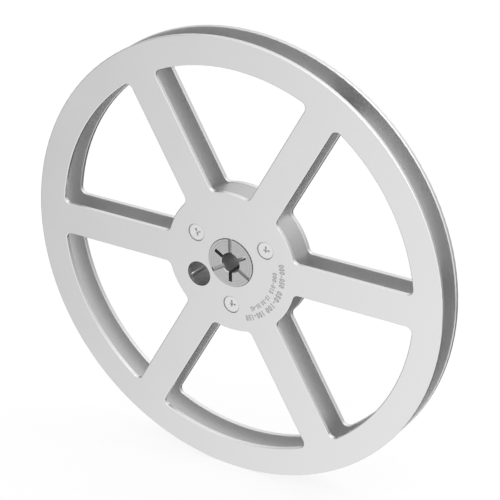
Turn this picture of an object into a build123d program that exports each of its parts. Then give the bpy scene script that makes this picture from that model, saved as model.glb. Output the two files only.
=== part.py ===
from build123d import *
import os

# Cine film reel for 8 mm film, 180 mm across, in aluminium.
#
# Two six-spoked flanges are screwed to a plain core, and a keyed spindle bush is trapped between them.
# The reel stands upright: its axis lies along Y, its front face looks toward -Y and +Z is up.
# The origin is the centre of the reel.
#
# Every piece is drawn face-on first: x to the right, y up, and z along the axis, out of the front face.
# upright() turns it into the reel's own frame.  All sizes are in millimetres and degrees.

# Reel
reel_diameter = 180.0
overall_width = 12.6

# Flanges
flange_thickness = 1.8
rim_width = 11.7
hub_diameter = 57.2
spoke_count = 6
spoke_width = 13.0
window_corner_radius = 2.5
edge_radius = 0.35  # rounding of both faces' edges

# Core
core_setback = 0.3  # the core's wall stands this far inside the edge of the flange hubs

# Spindle bush
bush_diameter = 19.8
bush_rise = 0.4  # from the flange face out to the bush face
bush_shoulder = 0.9  # radial step of the collar that the flanges trap
bush_face_chamfer = 0.2
bore_diameter = 8.0
bore_mouth_chamfer = 0.25
keyway_width = 1.5
keyway_reach = 7.8  # from the axis to the end of a keyway
keyway_angles = (30.0, 150.0, 270.0)
groove_width = 1.6  # a groove runs from the bore out through the bush's edge
groove_depth = 1.0
groove_angles = (90.0, 210.0, 330.0)

# Film-end hole and the slit that leads the film's end into it
film_hole_diameter = 10.2
film_hole_wall = 0.8  # metal left between the bush collar and the hole
film_hole_angle = 210.0
film_slit_width = 1.6

# Countersunk M4 screws, cross recess
screw_diameter = 4.0
screw_head_diameter = 7.0
screw_head_land = 0.1  # straight edge above the cone
screw_head_sink = 0.4  # from the flange face down to the head
screw_tip_chamfer = 0.4
screw_tip_gap = 1.0  # between a front screw and the back screw in the same hole
screw_wall = 4.9  # metal left between the bush collar and a screw
screw_angles = (30.0, 150.0, 270.0)
recess_across = 3.4
recess_slot = 0.7
recess_depth = 1.7
recess_turns = (0.0, 18.0, 3.0)  # where each driver stopped: a slot's angle on the reel's face

# Clearances
bush_clearance = 0.1  # bush in the flanges and the core, on the radius
screw_clearance = 0.1  # screw in its seat and hole, all round

# Worked out from the sizes above
face_z = overall_width / 2
gap_z = face_z - flange_thickness
outer_radius = reel_diameter / 2
window_radius = outer_radius - rim_width
hub_radius = hub_diameter / 2
core_radius = hub_radius - core_setback
bush_radius = bush_diameter / 2
collar_radius = bush_radius + bush_shoulder
collar_bore_radius = collar_radius + bush_clearance
bush_face_z = face_z + bush_rise
bore_radius = bore_diameter / 2
film_hole_radius = film_hole_diameter / 2
film_hole_distance = collar_bore_radius + film_hole_wall + film_hole_radius
screw_radius = screw_diameter / 2
screw_head_radius = screw_head_diameter / 2
screw_circle_radius = collar_bore_radius + screw_wall + screw_radius
screw_head_z = face_z - screw_head_sink
screw_tip_z = screw_tip_gap / 2
spoke_step = 360 / spoke_count
past = 1.0  # how far a cutting solid runs beyond the face that it cuts


def polar(radius, angle):
    """The place at this radius and angle on the reel's face."""
    return Rot(0, 0, angle) * Pos(radius, 0, 0)


def cylinder_between(radius, low, high):
    """A cylinder on the axis, from z = low to z = high."""
    return Pos(0, 0, low) * Cylinder(radius, high - low, align=(Align.CENTER, Align.CENTER, Align.MIN))


def slot_from_axis(reach, width, low, high, angle):
    """A straight slot from the axis out to reach, from z = low to z = high."""
    block = Box(reach, width, high - low, align=(Align.MIN, Align.CENTER, Align.MIN))
    return Rot(0, 0, angle) * Pos(0, 0, low) * block


def tan_of(angle):
    """Tangent of an angle in degrees."""
    slope = Vector(1, 0, 0).rotate(Axis.Z, angle)
    return slope.Y / slope.X


def window_outline():
    """One window: the ring between hub and rim, cut off by half a spoke on each side."""
    half = spoke_step / 2
    ring = Circle(window_radius) - Circle(hub_radius)
    far = 2 * outer_radius
    wedge = make_face(Polyline((0, 0), (far, -far * tan_of(half)), (far, far * tan_of(half)), close=True))
    outline = ring & wedge
    for side in (-half, half):
        outline -= Rot(0, 0, side) * Pos(outer_radius / 2, 0) * Rectangle(outer_radius, spoke_width)
    return fillet(outline.vertices(), window_corner_radius)


def flange_blank():
    """The front flange before its holes: rim, spokes and hub, with both faces' edges rounded."""
    outline = Circle(outer_radius)
    for turn in range(spoke_count):
        outline -= Rot(0, 0, (turn + 0.5) * spoke_step) * window_outline()
    blank = Pos(0, 0, gap_z) * extrude(outline, amount=flange_thickness)
    face_edges = blank.edges().filter_by_position(Axis.Z, gap_z, gap_z)
    face_edges += blank.edges().filter_by_position(Axis.Z, face_z, face_z)
    return fillet(face_edges, edge_radius)


def screw_profile(extra):
    """Solid of a screw seated in the front face on the axis; extra grows it all round."""
    shank = screw_radius + extra
    head = screw_head_radius + extra
    land_z = screw_head_z - screw_head_land
    cone_height = head - shank
    solid = cylinder_between(head, land_z, screw_head_z)
    solid += Pos(0, 0, land_z - cone_height / 2) * Cone(shank, head, cone_height)
    solid += cylinder_between(shank, screw_tip_z, land_z - cone_height)
    return solid


def screw(turn):
    """Countersunk screw with a cross recess that tapers to a point, one of its slots at this angle."""
    body = screw_profile(0)
    body = chamfer(body.edges().group_by(Axis.Z)[0], screw_tip_chamfer)
    cross = Box(recess_across, recess_slot, recess_depth, align=(Align.CENTER, Align.CENTER, Align.MAX))
    cross += Rot(0, 0, 90) * cross
    taper = Cone(
        recess_slot / 2, recess_across / 2, recess_depth, align=(Align.CENTER, Align.CENTER, Align.MAX)
    )
    return body - Pos(0, 0, screw_head_z) * Rot(0, 0, turn) * (cross & taper)


def screw_seats():
    """Everything that the three front screws take out of the flange and the core."""
    hole = cylinder_between(screw_radius + screw_clearance, -past, screw_head_z)
    seat = screw_profile(screw_clearance) + hole
    seat += cylinder_between(screw_head_radius + screw_clearance, screw_head_z, face_z + past)
    return [polar(screw_circle_radius, angle) * seat for angle in screw_angles]


def film_hole():
    """The round hole that takes the film's end; the back flange closes it."""
    hole = cylinder_between(film_hole_radius, -gap_z, face_z + past)
    return polar(film_hole_distance, film_hole_angle) * hole


def front_flange():
    flange = flange_blank() - cylinder_between(bush_radius + bush_clearance, gap_z - past, face_z + past)
    return flange - screw_seats() - film_hole()


def back_flange():
    flange = flange_blank() - cylinder_between(bush_radius + bush_clearance, gap_z - past, face_z + past)
    return mirror(flange - screw_seats(), about=Plane.XY)


def core():
    """The drum that the film winds on."""
    drum = cylinder_between(core_radius, -gap_z, gap_z)
    drum -= cylinder_between(collar_bore_radius, -gap_z - past, gap_z + past)
    for seat in screw_seats():
        drum -= seat
        drum -= mirror(seat, about=Plane.XY)
    slit_length = core_radius - film_hole_distance + past
    slit = Box(slit_length, film_slit_width, overall_width, align=(Align.MIN, Align.CENTER, Align.CENTER))
    return drum - film_hole() - polar(film_hole_distance, film_hole_angle) * slit


def spindle_bush():
    """Keyed bush with a collar between the flanges and a grooved face in each of them."""
    bush = cylinder_between(bush_radius, -bush_face_z, bush_face_z)
    bush = chamfer(bush.edges(), bush_face_chamfer)
    bush += cylinder_between(collar_radius, -gap_z, gap_z)
    bush -= cylinder_between(bore_radius, -bush_face_z, bush_face_z)
    mouth_z = bush_face_z - bore_mouth_chamfer
    mouth = Cone(
        bore_radius,
        bore_radius + bore_mouth_chamfer,
        bore_mouth_chamfer,
        align=(Align.CENTER, Align.CENTER, Align.MIN),
    )
    mouth = Pos(0, 0, mouth_z) * mouth
    bush = bush - mouth - mirror(mouth, about=Plane.XY)
    for angle in keyway_angles:
        bush -= slot_from_axis(keyway_reach, keyway_width, -bush_face_z, bush_face_z, angle)
    for angle in groove_angles:
        reach = bush_radius + past
        groove = slot_from_axis(reach, groove_width, bush_face_z - groove_depth, bush_face_z, angle)
        bush = bush - groove - mirror(groove, about=Plane.XY)
    return bush


def upright(piece):
    """Turns a face-on piece so that the reel's axis lies along Y and its front looks toward -Y."""
    return Plane.XZ.location * piece


pieces = {
    "front_flange": front_flange(),
    "back_flange": back_flange(),
    "core": core(),
    "spindle_bush": spindle_bush(),
}
for number, (angle, turn) in enumerate(zip(screw_angles, recess_turns), start=1):
    front = polar(screw_circle_radius, angle) * screw(turn - angle)
    pieces[f"front_screw_{number}"] = front
    pieces[f"back_screw_{number}"] = mirror(front, about=Plane.XY)

os.makedirs("parts", exist_ok=True)
for name, piece in pieces.items():
    export_step(upright(piece), f"parts/{name}.step")
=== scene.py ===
"""Looks of the cine film reel: metal finishes, a printed scale, studio light and the camera.

The CAD frame has the reel standing on its rim, its axis along Y, its front face toward -Y and
+Z up.  All lengths are in metres and all angles in degrees.
"""

import math

import bmesh
import bpy
from mathutils import Matrix, Vector


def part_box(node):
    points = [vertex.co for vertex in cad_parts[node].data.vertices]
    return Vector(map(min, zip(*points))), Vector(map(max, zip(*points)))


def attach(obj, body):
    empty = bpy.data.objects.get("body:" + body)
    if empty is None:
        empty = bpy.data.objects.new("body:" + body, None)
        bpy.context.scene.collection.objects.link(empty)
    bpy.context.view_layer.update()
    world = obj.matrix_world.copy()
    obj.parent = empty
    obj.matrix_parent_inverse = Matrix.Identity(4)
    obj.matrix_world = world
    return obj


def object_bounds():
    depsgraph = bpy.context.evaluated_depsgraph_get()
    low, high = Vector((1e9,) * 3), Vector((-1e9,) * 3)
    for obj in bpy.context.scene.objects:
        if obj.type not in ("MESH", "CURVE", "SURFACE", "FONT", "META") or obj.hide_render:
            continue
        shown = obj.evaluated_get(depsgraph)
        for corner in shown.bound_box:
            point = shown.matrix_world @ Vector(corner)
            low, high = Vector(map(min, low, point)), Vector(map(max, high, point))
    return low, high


MM = 0.001

# The camera looks at a point near the reel's centre, from the front, right and above
CAMERA_AZIMUTH = 32.40
CAMERA_ELEVATION = 26.05
CAMERA_ROLL = -0.49
CAMERA_DISTANCE = 794.8 * MM
CAMERA_AIM = Vector((4.69, 0.0, 3.92)) * MM
CAMERA_SENSOR = 36.0
CAMERA_LENS = 150.9
CAMERA_NEAR = 50 * MM

# Floor and backdrop
WHITE = (1.0, 1.0, 1.0, 1.0)
FLOOR_SIZE = 6.0
FLOOR_GREY = (0.94, 0.94, 0.94, 1.0)
FLOOR_ROUGHNESS = 0.9
FLOOR_GLOW = 0.8  # the share of plain white in what the camera sees of the floor

# Softbox
KEY_PLACE = (0.5, 0.3, 1.1)
KEY_SIZE = 1.0
KEY_POWER = 3.0

# Light tent that shows in reflections.  A ramp runs from one part of a direction to another, and from
# one strength to another.
TENT_FRONT = (-0.835, -0.165, 0.36, 1.5)  # front half, by x
TENT_CAP = 1.15  # the front ramp stops at this strength, so that no face burns out
TENT_TOP = (0.1, 0.5, 0.0, 0.3)  # added to the front half, by z
TENT_BACK = (-0.6, 0.6, 0.14, 1.05)  # back half, by z
TENT_SEAM = (-0.3, 0.5)  # the front half fades into the back half between these y
FILL = 1.0  # the strength for what is neither the camera's view nor a reflection

# Printed scale on the front hub: film lengths in feet outside and in metres inside
INK_THICKNESS = 0.02 * MM
GLYPH_ADVANCE = 0.62  # pitch of a digit of the built-in font per unit of size
GLYPH_WEIGHT = 0.05  # how far the outlines are pushed out, per unit of size
GLYPH_HEIGHT = 0.69  # height of a digit per unit of size
GLYPH_STEPS = 3  # resolution of the outlines' curves
WELD = 0.001 * MM
FEET_WORDS = (("000-050", 12.5, -12.5), ("050-100", -16.5, -46.5), ("100-150", -49.5, -73.5))
METRES_WORDS = (("000-015", 2.5, -25.5), ("15-30", -29.5, -45.5), ("30-45", -47.5, -63.5))
SCALE_ROWS = (  # name, inner and outer radius, and each word's first and last angle
    ("scale_feet", 21.8 * MM, 23.9 * MM, FEET_WORDS),
    ("scale_metres", 18.7 * MM, 20.4 * MM, METRES_WORDS),
)


# ---------------------------------------------------------------- node helpers

METAL = 1.0
NOT_METAL = 0.0
NOISE_RANGE = (0.3, 0.7)  # noise seldom leaves this range
COARSE = 2.0  # detail of noise
FINE = 3.0
OFF_AXIS = (1.0, 0.0, 1.0)  # keeps only the part of a vector that is square to the axis


def new_material(name, metallic):
    """A new material with its node tree and its Principled shader."""
    material = bpy.data.materials.new(name)
    material.use_nodes = True
    tree = material.node_tree
    shader = tree.nodes["Principled BSDF"]
    shader.inputs["Metallic"].default_value = metallic
    return material, tree, shader


def add_node(tree, kind, settings=None, values=None):
    """A new node with these settings and input values."""
    node = tree.nodes.new(kind)
    for name, value in (settings or {}).items():
        setattr(node, name, value)
    for name, value in (values or {}).items():
        node.inputs[name].default_value = value
    return node


def object_point(tree):
    """The place on the reel, in the CAD frame."""
    return add_node(tree, "ShaderNodeTexCoord").outputs["Object"]


def scaled(tree, vector, scale):
    """A vector with each part multiplied by its own factor."""
    node = add_node(tree, "ShaderNodeVectorMath", {"operation": "MULTIPLY"}, {1: scale})
    tree.links.new(vector, node.inputs[0])
    return node.outputs["Vector"]


def length_of(tree, vector):
    """The length of a vector."""
    node = add_node(tree, "ShaderNodeVectorMath", {"operation": "LENGTH"})
    tree.links.new(vector, node.inputs[0])
    return node.outputs["Value"]


def noise(tree, vector, feature, detail):
    """Noise from 0 to 1 whose features are about this size, in metres."""
    node = add_node(tree, "ShaderNodeTexNoise", None, {"Scale": 1 / feature, "Detail": detail})
    tree.links.new(vector, node.inputs["Vector"])
    return node.outputs["Fac"]


def remap(tree, value, low, high, to_low, to_high, kind="LINEAR"):
    """Carries low..high over to to_low..to_high and holds the ends."""
    limits = {"From Min": low, "From Max": high, "To Min": to_low, "To Max": to_high}
    node = add_node(tree, "ShaderNodeMapRange", {"interpolation_type": kind}, limits)
    tree.links.new(value, node.inputs["Value"])
    return node.outputs["Result"]


def spread(tree, fac, ends):
    """Noise carried over to the range between two ends."""
    return remap(tree, fac, *NOISE_RANGE, *ends)


def combine(tree, operation, first, second):
    """Two values joined by an operation of the Math node; either may be a number."""
    node = add_node(tree, "ShaderNodeMath", {"operation": operation})
    for socket, value in zip(node.inputs, (first, second)):
        if isinstance(value, (int, float)):
            socket.default_value = value
        else:
            tree.links.new(value, socket)
    return node.outputs["Value"]


def mottled(tree, first, second):
    """The product of two noises, each spread over its own pair of tones."""
    return combine(tree, "MULTIPLY", spread(tree, *first), spread(tree, *second))


def tinted(tree, colour, factor):
    """A colour made lighter or darker by a factor near 1."""
    node = add_node(tree, "ShaderNodeVectorMath", {"operation": "SCALE"}, {0: colour})
    tree.links.new(factor, node.inputs["Scale"])
    return node.outputs["Vector"]


def bump(tree, height, depth):
    """A bumped normal; depth is the height of a full step, in metres."""
    node = add_node(tree, "ShaderNodeBump", None, {"Strength": 1.0, "Distance": depth})
    tree.links.new(height, node.inputs["Height"])
    return node.outputs["Normal"]


def dress(tree, shader, colour, rough, normal):
    """Links a colour, a roughness and a normal to the shader."""
    for value, socket in ((colour, "Base Color"), (rough, "Roughness"), (normal, "Normal")):
        tree.links.new(value, shader.inputs[socket])


def axial(tree, vector):
    """The size of a vector's part along the reel's axis."""
    parts = add_node(tree, "ShaderNodeSeparateXYZ")
    tree.links.new(vector, parts.inputs["Vector"])
    node = add_node(tree, "ShaderNodeMath", {"operation": "ABSOLUTE"})
    tree.links.new(parts.outputs["Y"], node.inputs[0])
    return node.outputs["Value"]


# ---------------------------------------------------------------- finishes

# A tone multiplies a colour.  A pair of tones or roughnesses is what the ends of NOISE_RANGE become.
# Grains, clouds, lines, rings and wear are sizes of noise, and bumps are depths.

# Flanges.  A facing is 1 on the faces and 0 on walls square to them.
PLATE_COLOUR = (0.725, 0.725, 0.73)
PLATE_GRAIN = 0.35 * MM
PLATE_GRAIN_TONE = (0.965, 1.035)
PLATE_CLOUD = 22 * MM
PLATE_CLOUD_TONE = (0.99, 1.01)
PLATE_ROUGH = (0.30, 0.34)
PLATE_BUMP = 0.0015 * MM
WALL_HIGHLIGHT = 1.04  # painted highlight: the walls of rims and windows, lighter than the faces
WALL_FACING = (0.35, 0.6)  # from walls to rounded edges
EDGE_SHADE = 0.9  # painted shade: the rounded edges, darker where they leave the faces
EDGE_FACING = (0.85, 0.97)  # from rounded edges to faces
INNER_DEPTH = (4.6 * MM, 4.8 * MM)  # from the reel's middle, just beyond the inner faces
INNER_SHADE = 0.90  # painted shade between the flanges: the inner faces, darker than the outer ones
INNER_DULL = 0.12  # how much rougher the inner faces are

# Core: its colour is darkened by painted shade, for the shade between the flanges
CORE_SHADED_COLOUR = (0.54, 0.54, 0.545)
CORE_GRAIN = 0.4 * MM
CORE_GRAIN_TONE = (0.98, 1.02)
CORE_LINES = 0.12 * MM
CORE_LINES_TONE = (0.95, 1.04)
CORE_STRETCH = (0.05, 1.0, 0.05)  # draws the noise out into lines round the drum
CORE_ROUGH = (0.46, 0.54)
CORE_BUMP = 0.004 * MM

# Bush
BUSH_COLOUR = (0.50, 0.50, 0.50)
BUSH_GRAIN = 1.2 * MM
BUSH_GRAIN_TONE = (0.95, 1.05)
BUSH_RINGS = 0.6 * MM
BUSH_RINGS_TONE = (0.91, 1.09)
BUSH_ROUGH = (0.30, 0.40)
BUSH_BUMP = 0.006 * MM
BUSH_DEPTH = (4.4 * MM, 6.5 * MM)  # from the reel's middle: inside the bore to just below the face
BORE_SHADE = 0.62  # painted shade: the bore and the slots, darker than the face
BORE_DULL = 0.3  # how much rougher the bore is
BUSH_EDGE = (9.68 * MM, 9.78 * MM)  # radius where the face turns into the edge
# painted shade: a dark ring at the bush's edge, in place of the shadow in the gap to the flange
BUSH_EDGE_SHADE = 0.28

# Screws: radii are shares of the head's diameter
SCREW_COLOUR = (0.78, 0.78, 0.785)
SCREW_GRAIN = 0.3 * MM
SCREW_GRAIN_TONE = (0.96, 1.03)
SCREW_ROUGH = (0.32, 0.42)
SCREW_BUMP = 0.004 * MM
SCREW_CENTRE = (0.5, 0.0, 0.5)
SCREW_RIM = (0.44, 0.46)  # where the painted shade line at the head's rim begins
# painted shade: how dark the line at the head's rim is
SCREW_RIM_SHADE = 0.6

# Ink
INK_COLOUR = (0.34, 0.34, 0.345)
INK_WEAR = 0.5 * MM
INK_WEAR_RANGE = (0.35, 0.65)  # in place of NOISE_RANGE, for the tone
INK_WEAR_TONE = (0.85, 1.2)
INK_ROUGH = (0.5, 0.7)


def satin_aluminium():
    """Satin aluminium plate: fine grain, faint clouds, rougher inner faces, painted highlights on the
    walls and painted shade on the rounded edges and the inner faces.
    """
    material, tree, shader = new_material("satin_aluminium", METAL)
    point = object_point(tree)
    grain = noise(tree, point, PLATE_GRAIN, FINE)
    cloud = noise(tree, point, PLATE_CLOUD, COARSE)
    mottle = mottled(tree, (grain, PLATE_GRAIN_TONE), (cloud, PLATE_CLOUD_TONE))
    facing = axial(tree, add_node(tree, "ShaderNodeTexCoord").outputs["Normal"])
    # painted highlight on the walls and painted shade on the rounded edges
    walls = remap(tree, facing, *WALL_FACING, WALL_HIGHLIGHT, EDGE_SHADE)
    border = remap(tree, facing, *EDGE_FACING, 0.0, 1.0)
    light = combine(tree, "MULTIPLY", mottle, combine(tree, "MAXIMUM", walls, border))
    outer = remap(tree, axial(tree, point), *INNER_DEPTH, 0.0, 1.0)
    # painted shade on the inner faces between the flanges
    light = combine(tree, "MULTIPLY", light, remap(tree, outer, 0.0, 1.0, INNER_SHADE, 1.0))
    dull = remap(tree, outer, 0.0, 1.0, INNER_DULL, 0.0)
    rough = combine(tree, "ADD", dull, spread(tree, cloud, PLATE_ROUGH))
    dress(tree, shader, tinted(tree, PLATE_COLOUR, light), rough, bump(tree, grain, PLATE_BUMP))
    return material


def turned_aluminium():
    """The core's wall: fine tool lines round the drum, on a tone darkened by painted shade."""
    material, tree, shader = new_material("turned_aluminium", METAL)
    point = object_point(tree)
    lines = noise(tree, scaled(tree, point, CORE_STRETCH), CORE_LINES, COARSE)
    grain = noise(tree, point, CORE_GRAIN, COARSE)
    light = mottled(tree, (lines, CORE_LINES_TONE), (grain, CORE_GRAIN_TONE))
    rough = spread(tree, lines, CORE_ROUGH)
    # the core's tone carries painted shade
    dress(tree, shader, tinted(tree, CORE_SHADED_COLOUR, light), rough, bump(tree, lines, CORE_BUMP))
    return material


def turned_steel():
    """The bush: concentric tool lines on its faces, painted shade in the bore and the slots and a
    painted shade ring at its edge.
    """
    material, tree, shader = new_material("turned_steel", METAL)
    point = object_point(tree)
    radius = length_of(tree, scaled(tree, point, OFF_AXIS))
    source = add_node(tree, "ShaderNodeTexNoise", {"noise_dimensions": "1D"}, {"Scale": 1 / BUSH_RINGS})
    tree.links.new(radius, source.inputs["W"])
    rings = source.outputs["Fac"]
    grain = noise(tree, point, BUSH_GRAIN, FINE)
    mottle = mottled(tree, (rings, BUSH_RINGS_TONE), (grain, BUSH_GRAIN_TONE))
    depth = axial(tree, point)
    # painted shade in the bore and the slots
    dark = remap(tree, depth, *BUSH_DEPTH, BORE_SHADE, 1.0)
    # painted shade ring at the bush's edge
    edge = remap(tree, radius, *BUSH_EDGE, 1.0, BUSH_EDGE_SHADE)
    light = combine(tree, "MULTIPLY", mottle, combine(tree, "MULTIPLY", dark, edge))
    dull = remap(tree, depth, *BUSH_DEPTH, BORE_DULL, 0.0)
    rough = combine(tree, "ADD", dull, spread(tree, grain, BUSH_ROUGH))
    dress(tree, shader, tinted(tree, BUSH_COLOUR, light), rough, bump(tree, rings, BUSH_BUMP))
    return material


def bright_steel():
    """The screws: zinc-plated heads with a painted shade line at the rim."""
    material, tree, shader = new_material("bright_steel", METAL)
    point = object_point(tree)
    grain = noise(tree, point, SCREW_GRAIN, FINE)
    across = add_node(tree, "ShaderNodeVectorMath", {"operation": "SUBTRACT"}, {1: SCREW_CENTRE})
    tree.links.new(add_node(tree, "ShaderNodeTexCoord").outputs["Generated"], across.inputs[0])
    radius = length_of(tree, scaled(tree, across.outputs["Vector"], OFF_AXIS))
    # painted shade line at the head's rim
    rim = remap(tree, radius, *SCREW_RIM, 1.0, SCREW_RIM_SHADE)
    light = combine(tree, "MULTIPLY", spread(tree, grain, SCREW_GRAIN_TONE), rim)
    rough = spread(tree, grain, SCREW_ROUGH)
    dress(tree, shader, tinted(tree, SCREW_COLOUR, light), rough, bump(tree, grain, SCREW_BUMP))
    return material


def scale_ink():
    """Thin matt ink, a little uneven from wear."""
    material, tree, shader = new_material("scale_ink", NOT_METAL)
    point = object_point(tree)
    wear = noise(tree, point, INK_WEAR, FINE)
    light = remap(tree, wear, *INK_WEAR_RANGE, *INK_WEAR_TONE)
    tree.links.new(tinted(tree, INK_COLOUR, light), shader.inputs["Base Color"])
    tree.links.new(spread(tree, wear, INK_ROUGH), shader.inputs["Roughness"])
    return material


# ---------------------------------------------------------------- printed scale


def glyph_mesh(character, size, thickness):
    """A mesh of one character of the built-in font, this thick, centred on its own advance."""
    curve = bpy.data.curves.new("glyph", "FONT")
    curve.body = character
    curve.size = size
    curve.extrude = thickness / 2
    curve.offset = GLYPH_WEIGHT * size
    curve.resolution_u = GLYPH_STEPS
    curve.align_x = "CENTER"
    holder = bpy.data.objects.new("glyph", curve)
    mesh = bpy.data.meshes.new_from_object(holder)
    bpy.data.objects.remove(holder)
    bpy.data.curves.remove(curve)
    return mesh


def on_face(radius, angle, face_y, stretch):
    """Carries a glyph's plane to the front face, its top outward; stretch is its width's factor."""
    turn = math.radians(angle)
    out = Vector((math.cos(turn), 0.0, math.sin(turn)))
    along = Vector((math.sin(turn), 0.0, -math.cos(turn)))
    place = out * radius + Vector((0.0, face_y, 0.0))
    columns = (along * stretch, out, Vector((0.0, -1.0, 0.0)), place)
    rows = [[column[i] for column in columns] for i in range(3)]
    return Matrix(rows + [[0.0, 0.0, 0.0, 1.0]])


def print_row(name, inner, outer, words, face_y, material):
    """One row of the scale: words between their own angles, read clockwise."""
    size = (outer - inner) / GLYPH_HEIGHT
    shape = bmesh.new()
    for word, first, last in words:
        step = (last - first) / len(word)
        pitch = math.radians(abs(step)) * (inner + outer) / 2
        stretch = min(1.0, pitch / (GLYPH_ADVANCE * size))
        for place, character in enumerate(word):
            mesh = glyph_mesh(character, size, INK_THICKNESS)
            mesh.transform(on_face(inner, first + (place + 0.5) * step, face_y, stretch))
            shape.from_mesh(mesh)
            bpy.data.meshes.remove(mesh)
    bmesh.ops.remove_doubles(shape, verts=shape.verts, dist=WELD)
    bmesh.ops.recalc_face_normals(shape, faces=shape.faces)
    mesh = bpy.data.meshes.new(name)
    shape.to_mesh(mesh)
    shape.free()
    mesh.materials.append(material)
    row = bpy.data.objects.new(name, mesh)
    bpy.context.scene.collection.objects.link(row)
    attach(row, "root")


# ---------------------------------------------------------------- floor, light, camera


def lay_floor(height):
    """A pale floor that keeps the reel's soft shadow and fades into the white backdrop."""
    mesh = bpy.data.meshes.new("floor")
    shape = bmesh.new()
    bmesh.ops.create_grid(shape, x_segments=1, y_segments=1, size=FLOOR_SIZE / 2)
    bmesh.ops.translate(shape, verts=shape.verts, vec=(0, 0, height))
    shape.to_mesh(mesh)
    shape.free()
    floor = bpy.data.objects.new("floor", mesh)
    bpy.context.scene.collection.objects.link(floor)
    material, tree, shader = new_material("pale_floor", NOT_METAL)
    shader.inputs["Roughness"].default_value = FLOOR_ROUGHNESS
    shader.inputs["Base Color"].default_value = FLOOR_GREY
    paths = add_node(tree, "ShaderNodeLightPath")
    glow = add_node(tree, "ShaderNodeEmission", None, {"Color": WHITE, "Strength": 1.0})
    mix = add_node(tree, "ShaderNodeMixShader")
    share = combine(tree, "MULTIPLY", paths.outputs["Is Camera Ray"], FLOOR_GLOW)
    tree.links.new(share, mix.inputs["Fac"])
    tree.links.new(shader.outputs["BSDF"], mix.inputs[1])
    tree.links.new(glow.outputs["Emission"], mix.inputs[2])
    tree.links.new(mix.outputs["Shader"], tree.nodes["Material Output"].inputs["Surface"])
    material.cycles.emission_sampling = "NONE"
    mesh.materials.append(material)
    floor.visible_glossy = False


def light_world():
    """White to the camera; a light tent in reflections; a soft fill for everything else.

    The tent's front half is brighter on its right and at its top, and its back half at its top.
    """
    world = bpy.data.worlds.new("studio")
    world.use_nodes = True
    tree = world.node_tree
    background = tree.nodes["Background"]
    paths = add_node(tree, "ShaderNodeLightPath")
    direction = add_node(tree, "ShaderNodeSeparateXYZ")
    toward = add_node(tree, "ShaderNodeTexCoord").outputs["Generated"]
    tree.links.new(toward, direction.inputs["Vector"])
    front = remap(tree, direction.outputs["X"], *TENT_FRONT, kind="SMOOTHSTEP")
    front = combine(tree, "MINIMUM", front, TENT_CAP)
    front = combine(tree, "ADD", front, remap(tree, direction.outputs["Z"], *TENT_TOP))
    back = remap(tree, direction.outputs["Z"], *TENT_BACK)
    behind = remap(tree, direction.outputs["Y"], *TENT_SEAM, 0.0, 1.0, kind="SMOOTHSTEP")
    tent = add_node(tree, "ShaderNodeMix")
    for value, socket in ((behind, "Factor"), (front, "A"), (back, "B")):
        tree.links.new(value, tent.inputs[socket])
    camera = paths.outputs["Is Camera Ray"]
    glossy = paths.outputs["Is Glossy Ray"]
    other = combine(tree, "SUBTRACT", 1.0, combine(tree, "MAXIMUM", camera, glossy))
    seen = combine(tree, "MULTIPLY", glossy, tent.outputs["Result"])
    fill = combine(tree, "MULTIPLY", other, FILL)
    strength = combine(tree, "ADD", combine(tree, "ADD", camera, seen), fill)
    tree.links.new(strength, background.inputs["Strength"])
    background.inputs["Color"].default_value = WHITE
    world.cycles.sampling_method = "NONE"
    bpy.context.scene.world = world


def hang_softbox():
    """A square softbox above, behind and right of the reel, which it faces."""
    lamp = bpy.data.lights.new("key", "AREA")
    lamp.shape = "SQUARE"
    lamp.size = KEY_SIZE
    lamp.energy = KEY_POWER
    box = bpy.data.objects.new("key", lamp)
    box.location = KEY_PLACE
    box.rotation_euler = (-Vector(KEY_PLACE)).to_track_quat("-Z", "Y").to_euler()
    bpy.context.scene.collection.objects.link(box)


def set_camera():
    """The camera on its line of sight, turned a little about it."""
    azimuth = math.radians(CAMERA_AZIMUTH)
    elevation = math.radians(CAMERA_ELEVATION)
    back = Vector(
        (
            math.sin(azimuth) * math.cos(elevation),
            -math.cos(azimuth) * math.cos(elevation),
            math.sin(elevation),
        )
    )
    data = bpy.data.cameras.new("camera")
    data.sensor_width = CAMERA_SENSOR
    data.lens = CAMERA_LENS
    data.clip_start = CAMERA_NEAR
    camera = bpy.data.objects.new("camera", data)
    turn = (-back).to_track_quat("-Z", "Y").to_matrix().to_4x4()
    roll = Matrix.Rotation(math.radians(CAMERA_ROLL), 4, "Z")
    camera.matrix_world = Matrix.Translation(CAMERA_AIM + back * CAMERA_DISTANCE) @ turn @ roll
    bpy.context.scene.collection.objects.link(camera)
    bpy.context.scene.camera = camera


# ---------------------------------------------------------------- the scene

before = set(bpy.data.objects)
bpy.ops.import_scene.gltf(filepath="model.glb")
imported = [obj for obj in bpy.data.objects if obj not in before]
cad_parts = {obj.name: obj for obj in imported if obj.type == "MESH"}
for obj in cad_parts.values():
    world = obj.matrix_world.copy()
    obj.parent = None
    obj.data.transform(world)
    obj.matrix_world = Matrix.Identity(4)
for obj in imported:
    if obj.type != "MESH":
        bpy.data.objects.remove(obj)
cad_low, cad_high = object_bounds()

finishes = {
    "flange_aluminium": satin_aluminium(),
    "core_aluminium": turned_aluminium(),
    "bush_steel": turned_steel(),
    "screw_steel": bright_steel(),
}
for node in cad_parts.values():
    for holder in node.material_slots:
        holder.material = finishes[holder.material.name]

ink = scale_ink()
front_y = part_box("front_flange")[0].y
for name, inner, outer, words in SCALE_ROWS:
    print_row(name, inner, outer, words, front_y, ink)

lay_floor(cad_low.z)
light_world()
hang_softbox()
set_camera()
bpy.context.scene.view_settings.view_transform = "Standard"
